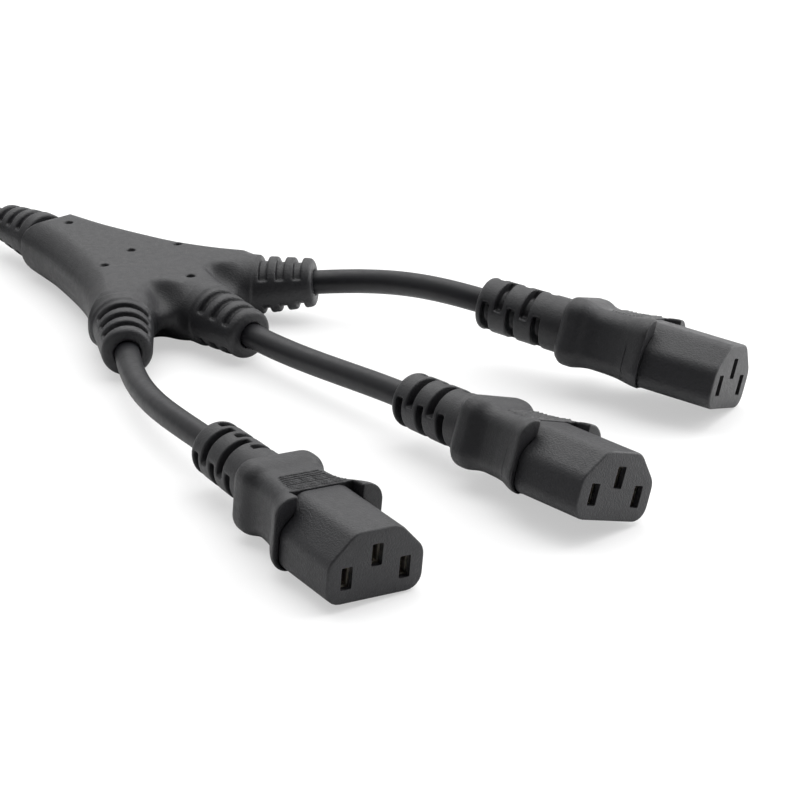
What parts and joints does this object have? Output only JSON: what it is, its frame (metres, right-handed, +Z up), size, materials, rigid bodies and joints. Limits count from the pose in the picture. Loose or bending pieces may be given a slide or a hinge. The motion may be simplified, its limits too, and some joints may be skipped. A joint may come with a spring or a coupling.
{
  "type": "power cord splitter",
  "caption": "Mains cord splitter: a plug lead feeds a moulded trident block, and a short cord from each outlet neck ends in an earthed appliance connector.",
  "frame": {"origin": "on the surface that it lies on, under the middle of the box around the block and the connectors", "axes": "+X from the input lead towards the outlets along the middle neck, +Z up, and +Y completes the frame"},
  "size_m": [0.33, 0.1757, 0.0235],
  "materials": {
    "moulded_body": "fine satin grain",
    "contact_block": "fine spark texture",
    "cord_sheath": "smooth semi-gloss",
    "contact_brass": "rolled",
    "plated_metal": "bright nickel",
    "tie_strap": "woven hook and loop",
    "insulation_line": "smooth",
    "insulation_neutral": "smooth",
    "insulation_earth": "smooth with a stripe"
  },
  "bodies": {
    "root": {"splitter_block": "moulded_body", "splice_sleeve_line": "plated_metal", "splice_wire_input_line": "insulation_line", "splice_wire_outlet_1_line": "insulation_line", "splice_wire_outlet_2_line": "insulation_line", "splice_wire_outlet_3_line": "insulation_line", "splice_sleeve_neutral": "plated_metal", "splice_wire_input_neutral": "insulation_neutral", "splice_wire_outlet_1_neutral": "insulation_neutral", "splice_wire_outlet_2_neutral": "insulation_neutral", "splice_wire_outlet_3_neutral": "insulation_neutral", "splice_sleeve_earth": "plated_metal", "splice_wire_input_earth": "insulation_earth", "splice_wire_outlet_1_earth": "insulation_earth", "splice_wire_outlet_2_earth": "insulation_earth", "splice_wire_outlet_3_earth": "insulation_earth", "connector_1_hood": "moulded_body", "connector_1_contact_block": "contact_block", "connector_1_contact_line": "contact_brass", "connector_1_wire_line": "insulation_line", "connector_1_contact_neutral": "contact_brass", "connector_1_wire_neutral": "insulation_neutral", "connector_1_contact_earth": "contact_brass", "connector_1_wire_earth": "insulation_earth", "outlet_cord_1": "cord_sheath", "connector_2_hood": "moulded_body", "connector_2_contact_block": "contact_block", "connector_2_contact_line": "contact_brass", "connector_2_wire_line": "insulation_line", "connector_2_contact_neutral": "contact_brass", "connector_2_wire_neutral": "insulation_neutral", "connector_2_contact_earth": "contact_brass", "connector_2_wire_earth": "insulation_earth", "outlet_cord_2": "cord_sheath", "connector_3_hood": "moulded_body", "connector_3_contact_block": "contact_block", "connector_3_contact_line": "contact_brass", "connector_3_wire_line": "insulation_line", "connector_3_contact_neutral": "contact_brass", "connector_3_wire_neutral": "insulation_neutral", "connector_3_contact_earth": "contact_brass", "connector_3_wire_earth": "insulation_earth", "outlet_cord_3": "cord_sheath", "input_lead": "cord_sheath", "input_lead_coil": "cord_sheath", "input_lead_tail": "cord_sheath", "coil_tie": "tie_strap", "plug_hood": "moulded_body", "plug_pin_carrier": "contact_block", "plug_pin_line": "plated_metal", "plug_wire_line": "insulation_line", "plug_pin_neutral": "plated_metal", "plug_wire_neutral": "insulation_neutral", "plug_pin_earth": "plated_metal", "plug_wire_earth": "insulation_earth"}
  },
  "joints": []
}
